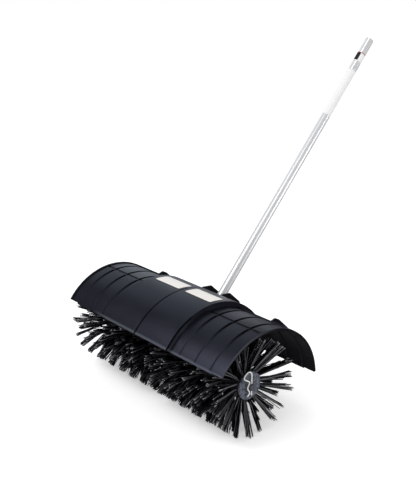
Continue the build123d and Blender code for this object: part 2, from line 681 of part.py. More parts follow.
end_disc = turned([
    (disc_bore, spigot_start),
    (spigot_radius, spigot_start),
    (spigot_radius, core_end),
    (drum_radius, core_end),
    (drum_radius, drum_end - EDGE_BREAK),
    (drum_radius - EDGE_BREAK, drum_end),
    (disc_boss_radius, drum_end),
    (disc_boss_radius, drum_end + DISC_BOSS_HEIGHT),
    (disc_bore, drum_end + DISC_BOSS_HEIGHT),
])

# Bristles: rings of square tufts, half a step round from each other, leaning in over the gearbox and
# out at the drum's end, standing in a slice of the drum's wall


def tuft(root_place, tip_place):
    """One tuft along +Y, from inside the backing to the brush's edge, wider at its tip."""
    root_height = drum_radius - TUFT_SEAT_SHARE * BACKING_WALL
    tip_height = sqrt((BRUSH_DIAMETER / 2) ** 2 - (TUFT_TIP / 2) ** 2)
    root = Pos(0, root_height, root_place) * Rot(90, 0, 0) * Rectangle(TUFT_ROOT, TUFT_ROOT)
    tip = Pos(0, tip_height, tip_place) * Rot(90, 0, 0) * Rectangle(TUFT_TIP, TUFT_TIP)
    return loft([root, tip], ruled=True)


first_root = drum_start + TUFT_EDGE_MARGIN
last_root = core_end - TUFT_EDGE_MARGIN
ring_pitch = (last_root - first_root) / (TUFT_RINGS - 1)
tuft_step = 360 / TUFTS_PER_RING
tufts = []
for ring in range(TUFT_RINGS):
    root_place = first_root + ring * ring_pitch
    share = ring / (TUFT_RINGS - 1)
    tip_place = root_place + share * OUTER_TIP_LEAN - (1 - share) * INNER_TIP_LEAN
    ring_tuft = tuft(root_place, tip_place)
    first_turn = (ring % 2) * tuft_step / 2
    tufts += [Rot(0, 0, first_turn + i * tuft_step) * ring_tuft for i in range(TUFTS_PER_RING)]
backing = post(drum_radius, drum_start, core_end) - post(core_radius, drum_start, core_end)
bristles = backing.fuse(*tufts)

# The hairpin clip: a straight leg through the axle, a loop above it and a leg that hugs the axle
wire_radius = CLIP_WIRE / 2
hug_radius = axle_radius + wire_radius + SLIP_GAP
clip_points = [
    (0, -CLIP_LEG),
    (0, CLIP_LOOP_HEIGHT),
    (-CLIP_LOOP_REACH, 0.58 * CLIP_LOOP_HEIGHT),
    (-0.5 * hug_radius, 1.35 * hug_radius),
    (-1.45 * hug_radius, 0),
    (-0.5 * hug_radius, -1.35 * hug_radius),
    (-1.3 * hug_radius, -CLIP_LEG),
]
clip_radii = [hug_radius, 0.65 * hug_radius, 0.45 * hug_radius, hug_radius, 0.45 * hug_radius]
clip_line = FilletPolyline(*[(0, y, z) for y, z in clip_points], radius=clip_radii)
clip_start = Plane(origin=clip_line @ 0, z_dir=clip_line % 0)
hairpin_clip = sweep(clip_start * Circle(wire_radius), path=clip_line)

for side, sign in SIDES.items():
    save(along_x(core, sign), f"drum_core_{side}")
    save(along_x(end_disc, sign), f"end_disc_{side}")
    save(along_x(bristles, sign), f"bristles_{side}")
    save(Pos(sign * clip_place, 0, 0) * hairpin_clip, f"hairpin_clip_{side}")

# Hood: a profile along X turned about the hood's axis, from the front edge over the top to the rear

hood_half = drum_end + HOOD_OVERHANG
panel_half = PANEL_LENGTH / 2
rim_start = hood_half - RIM_BEAD_WIDTH
rim_outer = wing_radius + RIM_BEAD_HEIGHT
first_bead = panel_half + BEAD_MARGIN
bead_pitch = (rim_start - BEAD_MARGIN - first_bead) / (BEAD_COUNT - 1)
bead_places = [first_bead + i * bead_pitch for i in range(BEAD_COUNT)]
bead_slope = BEAD_WIDTH / 4


def hood_line(offset, backwards=False):
    """Points along the hood's wall at an offset inside its outer face: panel, step, wing and beads."""
    points = [(panel_half - offset, panel_radius - offset)]
    points.append((panel_half - offset + STEP_DRAFT, wing_radius - offset))
    for place in bead_places:
        half = BEAD_WIDTH / 2
        points.append((place - half, wing_radius - offset))
        points.append((place - half + bead_slope, wing_radius - offset - BEAD_DEPTH))
        points.append((place + half - bead_slope, wing_radius - offset - BEAD_DEPTH))
        points.append((place + half, wing_radius - offset))
    return points[::-1] if backwards else points


seam_edge = SEAM_GAP / 2
hood_profile = [(seam_edge, panel_radius - SEAM_CHAMFER), (seam_edge + SEAM_CHAMFER, panel_radius)]
hood_profile += hood_line(0)
hood_profile += [(rim_start, wing_radius), (rim_start, rim_outer), (hood_half, rim_outer), (hood_half, wing_inner)]
hood_profile += hood_line(HOOD_WALL, backwards=True)
hood_profile += [(seam_edge, hood_inner_radius)]
band_profile = [
    (panel_half, wing_radius - HOOD_WALL / 2),
    (panel_half, wing_radius + BAND_HEIGHT),
    (rim_start, wing_radius + BAND_HEIGHT),
    (rim_start, wing_radius - HOOD_WALL / 2),
]


def hood_sector(points, front, rear, sign):
    """Turn (x, radius) points about the hood's axis, between two angles from the vertical."""
    outline = make_face(Polyline(*[(sign * x, 0, r) for x, r in points], close=True))
    solid = revolve(outline, Axis.X, front - rear)
    return Rot(rear, 0, 0) * solid


def polar(angle, radius):
    """A point (y, z) about the hood's axis, at an angle from the vertical towards the front."""
    return (-radius * sin(radians(angle)), radius * cos(radians(angle)))


def fin(place, radius, outline):
    """An upright plate behind the hood, from (angle, height above the hood) points."""
    corners = [polar(angle, radius + height) for angle, height in outline]
    plate = make_face(Polyline(*[(0, y, z) for y, z in corners], close=True))
    plate = Pos(place - FIN_THICKNESS / 2, 0, 0) * extrude(plate, FIN_THICKNESS, dir=(1, 0, 0))
    return plate - bar(radius - HOOD_WALL / 2, place - FIN_THICKNESS, place + FIN_THICKNESS)


hem_half = hood_half - HEM_INSET
hem_turn = degrees(HEM_WIDTH / panel_radius)
hem_drop_turn = degrees(HEM_DROP / panel_radius)
hem_line = [
    (seam_edge, panel_radius + HEM_PROUD),
    (panel_half, panel_radius + HEM_PROUD),
    (panel_half + STEP_DRAFT, wing_radius + HEM_PROUD),
    (hem_half, wing_radius + HEM_PROUD),
    (hem_half, wing_inner - HEM_PROUD),
    (panel_half - HOOD_WALL + STEP_DRAFT, wing_inner - HEM_PROUD),
    (panel_half - HOOD_WALL, hood_inner_radius - HEM_PROUD),
    (seam_edge, hood_inner_radius - HEM_PROUD),
]
front_hem_end = HOOD_FRONT_ANGLE + hem_drop_turn
rear_hem_end = -HOOD_REAR_ANGLE - hem_drop_turn
groove_start = panel_half + LONG_GROOVE_MARGIN
groove_length = rim_start - LONG_GROOVE_MARGIN / 2 - groove_start
pad_inner = tube_radius + TUBE_EXIT_ROOM
pad_width = FLANGE_WIDTH / 2 - pad_inner
pad_top = distance_to_hood(panel_radius, 0)
hood_screw_reach = HOOD_PAD_HEIGHT - PAD_SKIN
outer_fin_place = bead_places[BEAD_COUNT // 2] + OUTER_FIN_OFFSET


def hood_shell(sign):
    """One half of the hood: a pad under its wall meets the housing flange, a notch passes the tube."""
    half = hood_sector(hood_profile, HOOD_FRONT_ANGLE, -HOOD_REAR_ANGLE, sign)
    half += hood_sector(hem_line, front_hem_end, front_hem_end - hem_turn, sign)
    half += hood_sector(hem_line, rear_hem_end + hem_turn, rear_hem_end, sign)
    half += hood_sector(band_profile, *BAND_ANGLES, sign)
    for angle in LONG_GROOVE_ANGLES:
        groove = Pos(sign * (groove_start + groove_length / 2), 0, wing_radius) * Box(
            groove_length, LONG_GROOVE_WIDTH, 2 * LONG_GROOVE_DEPTH)
        half -= Rot(angle, 0, 0) * groove
    half += fin(sign * INNER_FIN_PLACE, panel_radius, INNER_FIN_OUTLINE)
    half += fin(sign * outer_fin_place, wing_radius, OUTER_FIN_OUTLINE)
    half = hood_axis_place * half
    pad = Pos(sign * (pad_inner + pad_width / 2), 0, (flange_top + pad_top) / 2) * Box(
        pad_width, FLANGE_DEPTH, pad_top - flange_top)
    under_hood = hood_axis_place * bar(panel_radius - HOOD_WALL / 2, -panel_half, panel_half)
    half += (gearbox * pad) & under_hood
    half -= gearbox * post(tube_radius + TUBE_EXIT_ROOM, flange_top, flange_top + 2 * panel_radius)
    for x, y in hood_screw_places:
        if x * sign > 0:
            hole = post(HOOD_SCREW_DIAMETER / 2 + PRESS_GAP, flange_bottom, flange_top + hood_screw_reach)
            half -= gearbox * Pos(x, y, 0) * hole
    return half


for side, sign in SIDES.items():
    save(hood_shell(sign), f"hood_{side}")

washer_top = flange_bottom
washer = post(HOOD_SCREW_DIAMETER, washer_top - WASHER_THICKNESS, washer_top)
washer -= post(hood_screw_room, washer_top - WASHER_THICKNESS, washer_top)
save_gearbox(group(Pos(x, y, 0) * washer for x, y in hood_screw_places), "hood_washers")
hood_screw_length = WASHER_THICKNESS + FLANGE_THICKNESS + hood_screw_reach
hood_screw = Rot(180, 0, 0) * cap_screw(HOOD_SCREW_DIAMETER, hood_screw_length)
hood_screw = Pos(0, 0, washer_top - WASHER_THICKNESS) * hood_screw
save_gearbox(group(Pos(x, y, 0) * hood_screw for x, y in hood_screw_places), "hood_screws")
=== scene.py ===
import json
import bpy
import numpy as np
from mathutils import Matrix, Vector


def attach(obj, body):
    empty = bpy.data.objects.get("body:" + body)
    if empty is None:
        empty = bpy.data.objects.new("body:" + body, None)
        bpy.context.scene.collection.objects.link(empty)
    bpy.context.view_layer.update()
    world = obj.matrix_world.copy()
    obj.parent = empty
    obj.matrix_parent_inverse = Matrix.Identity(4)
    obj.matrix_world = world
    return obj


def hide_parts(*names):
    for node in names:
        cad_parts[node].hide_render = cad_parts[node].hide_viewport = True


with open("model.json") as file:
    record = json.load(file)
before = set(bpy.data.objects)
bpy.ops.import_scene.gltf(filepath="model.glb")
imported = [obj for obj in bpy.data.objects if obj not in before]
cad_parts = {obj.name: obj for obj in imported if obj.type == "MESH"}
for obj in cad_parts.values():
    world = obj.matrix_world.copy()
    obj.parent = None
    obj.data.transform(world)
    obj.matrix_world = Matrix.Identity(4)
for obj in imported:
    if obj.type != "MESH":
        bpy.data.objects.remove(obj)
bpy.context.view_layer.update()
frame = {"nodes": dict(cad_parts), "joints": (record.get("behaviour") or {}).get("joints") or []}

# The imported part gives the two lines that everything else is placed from: the brush's axle, along X,
# and the boom tube, which leans back from the gearbox and ends at the frame's origin.
joints = {joint["name"]: joint for joint in frame["joints"]}
brush_centre = np.array(joints["brush_spin"]["pos_m"])
tube_axis = np.array(joints["drive_spin"]["axis"])


# Camera: it stands above and in front of the hood's right end, as the photographer did. Place and
# lens were worked out from the outlines of the hood, the brush and the tube.
CAMERA_DISTANCE = 2.151
CAMERA_AZIMUTH = 51.28
CAMERA_ELEVATION = 25.40
AIM_AZIMUTH = 48.80
AIM_ELEVATION = 18.32
LENS_LENGTH = 60.08
LONG_SIDE = 36.0


def towards_viewer(azimuth, elevation):
    """The unit vector from the object to a viewer, at angles round Z from -Y and above the floor."""
    turn, rise = np.radians((azimuth, elevation))
    return np.array([np.cos(rise) * np.sin(turn), -np.cos(rise) * np.cos(turn), np.sin(rise)])


camera_data = bpy.data.cameras.new("camera")
camera_data.lens = LENS_LENGTH
camera_data.sensor_width = LONG_SIDE
camera = bpy.data.objects.new("camera", camera_data)
camera.location = brush_centre + CAMERA_DISTANCE * towards_viewer(CAMERA_AZIMUTH, CAMERA_ELEVATION)
camera_aim = Vector(-towards_viewer(AIM_AZIMUTH, AIM_ELEVATION))
camera.rotation_euler = camera_aim.to_track_quat("-Z", "Y").to_euler()
bpy.context.scene.collection.objects.link(camera)
bpy.context.scene.camera = camera
bpy.context.scene.view_settings.view_transform = "Standard"


# Stage: a white sweep of floor under the bristle tips, a white room and six soft lamps. The
# camera sees the room as plain white, glossy faces see it dimmer, and the floor keeps the shadow.
FLOOR_SIZE = 40.0
FLOOR_WHITE = 0.93
FLOOR_GLOW = 0.40
FLOOR_GLEAM = 0.25
ROOM_LIGHT = 0.68
ROOM_GLEAM = 0.17
BRUSH_RADIUS = 0.124


def new_material(name):
    """An empty node material and its Principled shader."""
    material = bpy.data.materials.new(name)
    material.use_nodes = True
    return material, material.node_tree.nodes["Principled BSDF"]


def add_node(material, kind, **settings):
    """A node with its properties set; numbers and colours for its inputs go by socket name."""
    node = material.node_tree.nodes.new(kind)
    for key, value in settings.items():
        if hasattr(node, key):
            setattr(node, key, value)
        else:
            node.inputs[key.replace("_", " ")].default_value = value
    return node


def wire(material, source, target):
    """Link an output socket to an input socket."""
    material.node_tree.links.new(source, target)


def mesh_piece(name, points, faces, material, smooth=True):
    """A mesh object at the origin from arrays of points and faces, with one material."""
    mesh = bpy.data.meshes.new(name)
    mesh.from_pydata(np.asarray(points).reshape(-1, 3).tolist(), [], np.asarray(faces).tolist())
    mesh.polygons.foreach_set("use_smooth", np.full(len(mesh.polygons), smooth))
    mesh.materials.append(material)
    piece = bpy.data.objects.new(name, mesh)
    bpy.context.scene.collection.objects.link(piece)
    return piece


floor_material, floor_shader = new_material("white_floor")
floor_shader.inputs["Roughness"].default_value = 1.0
floor_shader.inputs["Specular IOR Level"].default_value = 0.0
floor_shader.inputs["Emission Color"].default_value = (1, 1, 1, 1)
floor_ray = add_node(floor_material, "ShaderNodeLightPath")
floor_tone = add_node(floor_material, "ShaderNodeMapRange", To_Min=FLOOR_WHITE, To_Max=FLOOR_GLEAM)
wire(floor_material, floor_ray.outputs["Is Glossy Ray"], floor_tone.inputs["Value"])
wire(floor_material, floor_tone.outputs["Result"], floor_shader.inputs["Base Color"])
floor_glow = add_node(floor_material, "ShaderNodeMapRange", To_Max=FLOOR_GLOW)
wire(floor_material, floor_ray.outputs["Is Camera Ray"], floor_glow.inputs["Value"])
wire(floor_material, floor_glow.outputs["Result"], floor_shader.inputs["Emission Strength"])
floor_height = brush_centre[2] - BRUSH_RADIUS
half_floor = FLOOR_SIZE / 2
floor_corners = [(x, y, floor_height) for x, y in ((-1, -1), (1, -1), (1, 1), (-1, 1))]
floor_points = np.array(floor_corners) * (half_floor, half_floor, 1)
floor = mesh_piece("floor", floor_points, [(0, 1, 2, 3)], floor_material)

world = bpy.data.worlds.new("white_room")
world.use_nodes = True
bpy.context.scene.world = world
room = world.node_tree
room_shader = room.nodes["Background"]
room_shader.inputs["Color"].default_value = (1, 1, 1, 1)
ray = room.nodes.new("ShaderNodeLightPath")
unseen = room.nodes.new("ShaderNodeMapRange")
unseen.inputs["To Min"].default_value = ROOM_LIGHT
unseen.inputs["To Max"].default_value = ROOM_GLEAM
strength = room.nodes.new("ShaderNodeMapRange")
strength.inputs["To Max"].default_value = 1.0
room.links.new(ray.outputs["Is Glossy Ray"], unseen.inputs["Value"])
room.links.new(unseen.outputs["Result"], strength.inputs["To Min"])
room.links.new(ray.outputs["Is Camera Ray"], strength.inputs["Value"])
room.links.new(strength.outputs["Result"], room_shader.inputs["Strength"])


def soft_lamp(name, azimuth, elevation, distance, size, power, colour=(1, 1, 1), target=brush_centre):
    """A square area lamp that faces the brush, or another target, from a direction."""
    data = bpy.data.lights.new(name, "AREA")
    data.color = colour
    data.size = size
    data.energy = power
    lamp = bpy.data.objects.new(name, data)
    back = towards_viewer(azimuth, elevation)
    lamp.location = target + distance * back
    lamp.rotation_euler = Vector(-back).to_track_quat("-Z", "Y").to_euler()
    bpy.context.scene.collection.objects.link(lamp)


COOL = (0.80, 0.90, 1.0)
TUBE_TOP = -0.05 * tube_axis
LAMPS = {
    "top_lamp": dict(azimuth=-5, elevation=60, distance=2.6, size=1.4, power=11),
    "front_lamp": dict(azimuth=-30, elevation=44, distance=2.0, size=0.8, power=8.5),
    "left_lamp": dict(azimuth=-110, elevation=37, distance=3.0, size=1.8, power=4.4, colour=COOL),
    "low_lamp": dict(azimuth=-132, elevation=14, distance=2.6, size=1.2, power=3.2, colour=COOL),
    "right_lamp": dict(azimuth=122, elevation=10, distance=2.6, size=0.9, power=9),
    "tube_lamp": dict(azimuth=10, elevation=66, distance=1.0, size=0.3, power=1.2, target=TUBE_TOP),
}
for name, settings in LAMPS.items():
    soft_lamp(name, **settings)


# Boom tube: drawn aluminium tube, satin anodised, with fine streaks along it from drawing and from
# being pushed in and out of the clamp.
STREAK_STRETCH = 60
STREAKS_PER_METRE = 900


def object_place(material):
    """The Object coordinates of the piece that wears a material."""
    return add_node(material, "ShaderNodeTexCoord").outputs["Object"]


def along_tube(material, stretch):
    """Object coordinates turned so that Z runs along the tube, stretched along it by a factor."""
    turn = add_node(material, "ShaderNodeMapping", vector_type="TEXTURE")
    turn.inputs["Rotation"].default_value = Vector(tube_axis).to_track_quat("Z", "X").to_euler()
    turn.inputs["Scale"].default_value = (1, 1, stretch)
    wire(material, object_place(material), turn.inputs["Vector"])
    return turn.outputs["Vector"]


def noise(material, vector, scale, detail=4, roughness=0.5):
    """A noise texture of a scale per metre on a vector."""
    texture = add_node(material, "ShaderNodeTexNoise", Scale=scale, Detail=detail, Roughness=roughness)
    wire(material, vector, texture.inputs["Vector"])
    return texture.outputs["Fac"]


def blend_range(material, value, low, high, start=0.0, end=1.0):
    """Map a value from start..end to low..high."""
    ramp = add_node(material, "ShaderNodeMapRange", From_Min=start, From_Max=end, To_Min=low, To_Max=high)
    wire(material, value, ramp.inputs["Value"])
    return ramp.outputs["Result"]


def blend_colours(material, value, first, second):
    """Blend two colours, or colour outputs, by a value from 0 to 1."""
    mix = add_node(material, "ShaderNodeMix", data_type="RGBA")
    ends = [socket for socket in mix.inputs if socket.type == "RGBA"]
    for socket, colour in zip(ends, (first, second)):
        if isinstance(colour, tuple):
            socket.default_value = (*colour, 1)
        else:
            wire(material, colour, socket)
    wire(material, value, mix.inputs["Factor"])
    return [socket for socket in mix.outputs if socket.type == "RGBA"][0]


def vary(material, shader, value, dark, light, smoothest, roughest):
    """Take a shader's colour from dark to light and its roughness along with it, by a value from 0 to 1."""
    wire(material, blend_colours(material, value, dark, light), shader.inputs["Base Color"])
    wire(material, blend_range(material, value, smoothest, roughest), shader.inputs["Roughness"])


def roughen(material, shader, height, strength, distance):
    """Give a shader a bump from a height value, with a depth in metres."""
    bump = add_node(material, "ShaderNodeBump", Strength=strength, Distance=distance)
    wire(material, height, bump.inputs["Height"])
    wire(material, bump.outputs["Normal"], shader.inputs["Normal"])


def dress(node, material):
    """Give a CAD node a material in place of its own."""
    slots = frame["nodes"][node].data.materials
    slots.clear()
    slots.append(material)


tube_material, tube_shader = new_material("satin_aluminium")
tube_streaks = noise(tube_material, along_tube(tube_material, STREAK_STRETCH), STREAKS_PER_METRE)
vary(tube_material, tube_shader, tube_streaks, dark=(0.84, 0.85, 0.87), light=(0.95, 0.96, 0.98),
     smoothest=0.20, roughest=0.34)
tube_shader.inputs["Metallic"].default_value = 0.42
roughen(tube_material, tube_shader, tube_streaks, strength=0.15, distance=0.0002)
dress("boom_tube", tube_material)


# Tube wraps: bare films stuck round the tube below its free end: a red line in the depth mark, a white
# film with a black bar under it, and a longer white film below that.
TUBE_RADIUS = 0.012
MARK_DEPTH = 0.050
MARK_WIDTH = 0.002
MARK_SINK = 0.0002
MARK_ARC = 354
FILM_THICKNESS = 0.00012
FILM_ARC = 260
FILM_ROW = 0.004
FILM_STEP = 6
UPPER_FILM_LENGTH = 0.028
BAR_LENGTH = 0.025
BAR_ARC = 70
BAR_TURN = 46
LOWER_FILM_GAP = 0.056
LOWER_FILM_LENGTH = 0.157
VIEWED_SIDE = -45.0
WEAR_STRETCH = 8
WEAR_PER_METRE = 220
tube_across = np.array([1.0, 0.0, 0.0])
tube_under = np.cross(tube_axis, tube_across)


def grid_faces(rows, columns, wrap=False):
    """Quads of a grid of points stored row by row; wrap closes each row on itself."""
    last = columns if wrap else columns - 1
    row, column = np.meshgrid(np.arange(rows - 1), np.arange(last), indexing="ij")
    here = row * columns + column
    right = row * columns + (column + 1) % columns
    return np.stack((here, right, right + columns, here + columns), -1).reshape(-1, 4)


def thicken(piece, thickness):
    """Give a surface a wall of even thickness behind its outer face."""
    wall = piece.modifiers.new("wall", "SOLIDIFY")
    wall.thickness = thickness
    wall.offset = -1


def film_material(name, dark, light):
    """Smooth vinyl film, faintly clouded and worn along the tube."""
    material, shader = new_material(name)
    wear = noise(material, along_tube(material, WEAR_STRETCH), WEAR_PER_METRE)
    vary(material, shader, wear, dark, light, smoothest=0.30, roughest=0.48)
    shader.inputs["Specular IOR Level"].default_value = 0.2
    return material


def tube_film(name, start, length, middle, arc, lift, material):
    """A film on the tube: rows step down from the free end, columns turn by an arc about a middle angle,
    which is measured round the tube from +X towards its underside."""
    rows = max(2, int(length / FILM_ROW))
    columns = int(arc / FILM_STEP) + 1
    down = start + length * np.linspace(0, 1, rows)[:, None, None]
    turn = np.radians(middle + arc * np.linspace(-0.5, 0.5, columns))[None, :, None]
    around = np.cos(turn) * tube_across + np.sin(turn) * tube_under
    points = around * (TUBE_RADIUS + lift) - down * tube_axis
    film = mesh_piece(name, points, grid_faces(rows, columns)[:, ::-1], material)
    thicken(film, FILM_THICKNESS)
    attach(film, "frame")


white_film = film_material("white_film", (0.86, 0.86, 0.86), (0.92, 0.92, 0.92))
black_film = film_material("black_film", (0.010, 0.010, 0.011), (0.022, 0.022, 0.024))
red_film = film_material("red_film", (0.52, 0.035, 0.025), (0.64, 0.06, 0.04))
below_mark = MARK_DEPTH + MARK_WIDTH
lower_start = below_mark + LOWER_FILM_GAP
bar_side = VIEWED_SIDE - BAR_TURN
tube_film("depth_line", MARK_DEPTH, MARK_WIDTH, VIEWED_SIDE, MARK_ARC, -MARK_SINK, red_film)
tube_film("upper_film", below_mark, UPPER_FILM_LENGTH, VIEWED_SIDE, FILM_ARC, FILM_THICKNESS, white_film)
tube_film("bar_film", below_mark, BAR_LENGTH, bar_side, BAR_ARC, 2 * FILM_THICKNESS, black_film)
tube_film("lower_film", lower_start, LOWER_FILM_LENGTH, VIEWED_SIDE, FILM_ARC, FILM_THICKNESS, white_film)


# Drive line: ground steel shaft with square tips, its coupling sleeve and the one-start worm, carried
# by natural nylon bushes in the tube. None of it shows while the tube and housing are on.
METAL_FINENESS = 20
PLASTIC_FINENESS = 25


def metal_material(name, dark, light, smoothest, roughest, scale):
    """Bare metal: a clouded tone and a varying polish from one noise, with a fine grain in its face."""
    material, shader = new_material(name)
    place = object_place(material)
    cloud = noise(material, place, scale, detail=6, roughness=0.6)
    vary(material, shader, cloud, dark, light, smoothest, roughest)
    shader.inputs["Metallic"].default_value = 1.0
    face = noise(material, place, METAL_FINENESS * scale, detail=2)
    roughen(material, shader, face, strength=0.12, distance=0.0002)
    return material


def plastic_material(name, dark, light, smoothest, roughest, scale, grain):
    """Moulded plastic or rubber: a faintly clouded tone and polish, with a moulded grain of some depth."""
    material, shader = new_material(name)
    place = object_place(material)
    cloud = noise(material, place, scale, detail=6, roughness=0.6)
    vary(material, shader, cloud, dark, light, smoothest, roughest)
    face = noise(material, place, PLASTIC_FINENESS * scale, detail=2)
    roughen(material, shader, face, strength=0.3, distance=grain)
    return material


ground_steel = metal_material("ground_steel", dark=(0.46, 0.46, 0.47), light=(0.62, 0.62, 0.62),
                              smoothest=0.22, roughest=0.38, scale=120)
for node in ("drive_shaft", "drive_coupling", "worm_shaft"):
    dress(node, ground_steel)
natural_nylon = plastic_material("natural_nylon", dark=(0.66, 0.65, 0.60), light=(0.76, 0.75, 0.71),
                                 smoothest=0.40, roughest=0.55, scale=80, grain=0.0001)
dress("shaft_bushes", natural_nylon)


# Worm wheel and bearings: a bronze wheel keyed to the axle, and polished ball bearings, each an inner
# ring, an outer ring and caged balls, held by circlips and shut off by rubber seals.
SIDES = {"left": -1, "right": 1}
wheel_bronze = metal_material("wheel_bronze", dark=(0.50, 0.31, 0.12), light=(0.66, 0.45, 0.20),
                              smoothest=0.25, roughest=0.42, scale=140)
dress("worm_wheel", wheel_bronze)
bearing_steel = metal_material("bearing_steel", dark=(0.58, 0.58, 0.60), light=(0.72, 0.72, 0.73),
                               smoothest=0.12, roughest=0.26, scale=200)
bearing_places = [("axle", place) for place in SIDES] + [("worm", place) for place in ("lower", "upper")]
for shaft, place in bearing_places:
    for piece in ("inner", "outer", "balls"):
        dress(f"{shaft}_bearing_{piece}_{place}", bearing_steel)
spring_steel = metal_material("spring_steel", dark=(0.10, 0.10, 0.11), light=(0.19, 0.19, 0.20),
                              smoothest=0.30, roughest=0.45, scale=150)
for node in ("wheel_key", "axle_circlips", "drive_pins", "housing_dowels"):
    dress(node, spring_steel)
seal_rubber = plastic_material("seal_rubber", dark=(0.010, 0.010, 0.011), light=(0.024, 0.024, 0.026),
                               smoothest=0.55, roughest=0.75, scale=120, grain=0.0001)
for side in SIDES:
    dress(f"axle_seal_{side}", seal_rubber)


# Gear housing: two halves of cast aluminium, sand-rough outside, with a fibre gasket between them,
# socket screws through the rim and the clamp lugs, and a grease plug in the right side.
cast_alloy, cast_shader = new_material("cast_alloy")
cast_place = object_place(cast_alloy)
cast_cloud = noise(cast_alloy, cast_place, scale=45, detail=6, roughness=0.65)
cast_pits = noise(cast_alloy, cast_place, scale=900, detail=3)
wire(cast_alloy, blend_colours(cast_alloy, cast_cloud, (0.26, 0.265, 0.27), (0.43, 0.435, 0.44)),
     cast_shader.inputs["Base Color"])
wire(cast_alloy, blend_range(cast_alloy, cast_pits, 0.42, 0.66), cast_shader.inputs["Roughness"])
cast_shader.inputs["Metallic"].default_value = 0.85
roughen(cast_alloy, cast_shader, cast_pits, strength=0.5, distance=0.0004)
for side in SIDES:
    dress(f"gear_housing_{side}", cast_alloy)
gasket_fibre = plastic_material("gasket_fibre", dark=(0.045, 0.036, 0.028), light=(0.09, 0.075, 0.06),
                                smoothest=0.7, roughest=0.9, scale=300, grain=0.0001)
dress("housing_gasket", gasket_fibre)
dark_zinc = metal_material("dark_zinc", dark=(0.17, 0.17, 0.18), light=(0.30, 0.30, 0.31),
                           smoothest=0.28, roughest=0.48, scale=160)
for node in ("housing_screws", "clamp_screws", "grease_plug", "hood_screws", "hood_washers"):
    dress(node, dark_zinc)


# Axle: a steel bar through the gearbox and both drums, painted dark blue-grey against rust. Its ends
# stand out of the end discs, each with a cross hole for a clip.
axle_paint = plastic_material("axle_paint", dark=(0.040, 0.045, 0.058), light=(0.105, 0.113, 0.138),
                              smoothest=0.45, roughest=0.65, scale=90, grain=0.0001)
dress("axle", axle_paint)


# Drums: a ribbed core of black plastic on the axle, and round it the sleeve that holds the bristles,
# a plain tube shut between the core's inner end and the end disc.
DRUM_RADIUS = 0.035
SLEEVE_WALL = 0.0025
SLEEVE_START = 0.041
SLEEVE_END = 0.274
SLEEVE_STEPS = 64


def turned_on_axle(profile, sign, steps):
    """A closed surface turned about the axle: each (place along X, radius) point makes a ring, and the
    rings are joined in order and back to the first."""
    ring = 2 * np.pi * np.arange(steps) / steps
    loop = np.array(profile + profile[:1])
    x = np.broadcast_to(sign * loop[:, :1], (len(loop), steps))
    y = loop[:, 1:] * np.cos(ring)
    z = loop[:, 1:] * np.sin(ring)
    faces = grid_faces(len(loop), steps, wrap=True) % (len(profile) * steps)
    points = np.stack((x, y, z), -1)[:-1] + brush_centre
    return points, faces if sign < 0 else faces[:, ::-1]


drum_plastic = plastic_material("drum_plastic", dark=(0.010, 0.0105, 0.012), light=(0.022, 0.023, 0.026),
                                smoothest=0.42, roughest=0.60, scale=60, grain=0.0002)
sleeve_bore = DRUM_RADIUS - SLEEVE_WALL
sleeve_profile = [
    (SLEEVE_START, sleeve_bore),
    (SLEEVE_START, DRUM_RADIUS),
    (SLEEVE_END, DRUM_RADIUS),
    (SLEEVE_END, sleeve_bore),
]
for side, sign in SIDES.items():
    dress(f"drum_core_{side}", drum_plastic)
    points, faces = turned_on_axle(sleeve_profile, sign, SLEEVE_STEPS)
    sleeve = mesh_piece(f"bristle_sleeve_{side}", points, faces, drum_plastic, smooth=False)
    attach(sleeve, "brush_rotor")


# End discs: moulded in blue-grey plastic with a coarse, mottled face. Each is pressed into the open end
# of its drum and turns with it.
MOTTLE_RANGE = (0.34, 0.68)
disc_plastic, disc_shader = new_material("disc_plastic")
disc_noise = noise(disc_plastic, object_place(disc_plastic), scale=170, detail=6, roughness=0.6)
disc_mottle = blend_range(disc_plastic, disc_noise, 0, 1, *MOTTLE_RANGE)
vary(disc_plastic, disc_shader, disc_mottle, dark=(0.016, 0.021, 0.034), light=(0.195, 0.213, 0.270),
     smoothest=0.55, roughest=0.75)
roughen(disc_plastic, disc_shader, disc_mottle, strength=0.5, distance=0.0012)
for side in SIDES:
    dress(f"end_disc_{side}", disc_plastic)


# Hairpin clips: bright zinc-plated spring wire, bent to a loop with one straight leg and one wavy leg.
# The straight leg goes through the axle's cross hole and holds the drum on.
clip_wire, clip_shader = new_material("bright_zinc_wire")
clip_cloud = noise(clip_wire, object_place(clip_wire), scale=300)
vary(clip_wire, clip_shader, clip_cloud, dark=(0.95, 0.945, 0.91), light=(1.0, 1.0, 0.98),
     smoothest=0.22, roughest=0.40)
clip_shader.inputs["Metallic"].default_value = 0.1
for side in SIDES:
    dress(f"hairpin_clip_{side}", clip_wire)


# Bristles: stiff black nylon strands in tufts, set in rings round each drum. Each tuft parts into a few
# bundles that fan out towards the tips; the rings by the gearbox lean in and those at the end lean out.
TUFT_RINGS = 12
TUFTS_PER_RING = 18
BUNDLES = 3
STRANDS_PER_BUNDLE = 6
STRAND_WIDTH = 0.0016
STRAND_STEPS = 5
FIRST_ROOT = 0.049
LAST_ROOT = 0.266
INNER_LEAN = 0.025
NECK_CLEAR = 0.0260
INNER_FAN = 2.0
INNER_FALL = 8
OUTER_LEAN = 0.026
ROOT_SPREAD = 0.0028
TIP_SPREAD = np.array([0.0066, 0.0038])
TIP_TAPER = 0.1
TUFT_SPREAD = 0.0022
TUFT_SWING = 0.02
BUNDLE_SPREAD = np.array([0.0036, 0.0020])
SPLAY_SPREAD = 0.0022
BOW_SPREAD = 0.0009
LEAST_CELL = 0.05
LENGTH_SPREAD = 0.0030
TUFT_TRIM = (-1, 0.2)
STRAND_TRIM = 0.7
# Painted sheen: more strands at the drum's end are painted pale.
END_SHEEN = 0.22
END_FALL = 12
DRUM_TURN = {"left": 1.5, "right": 10.0}
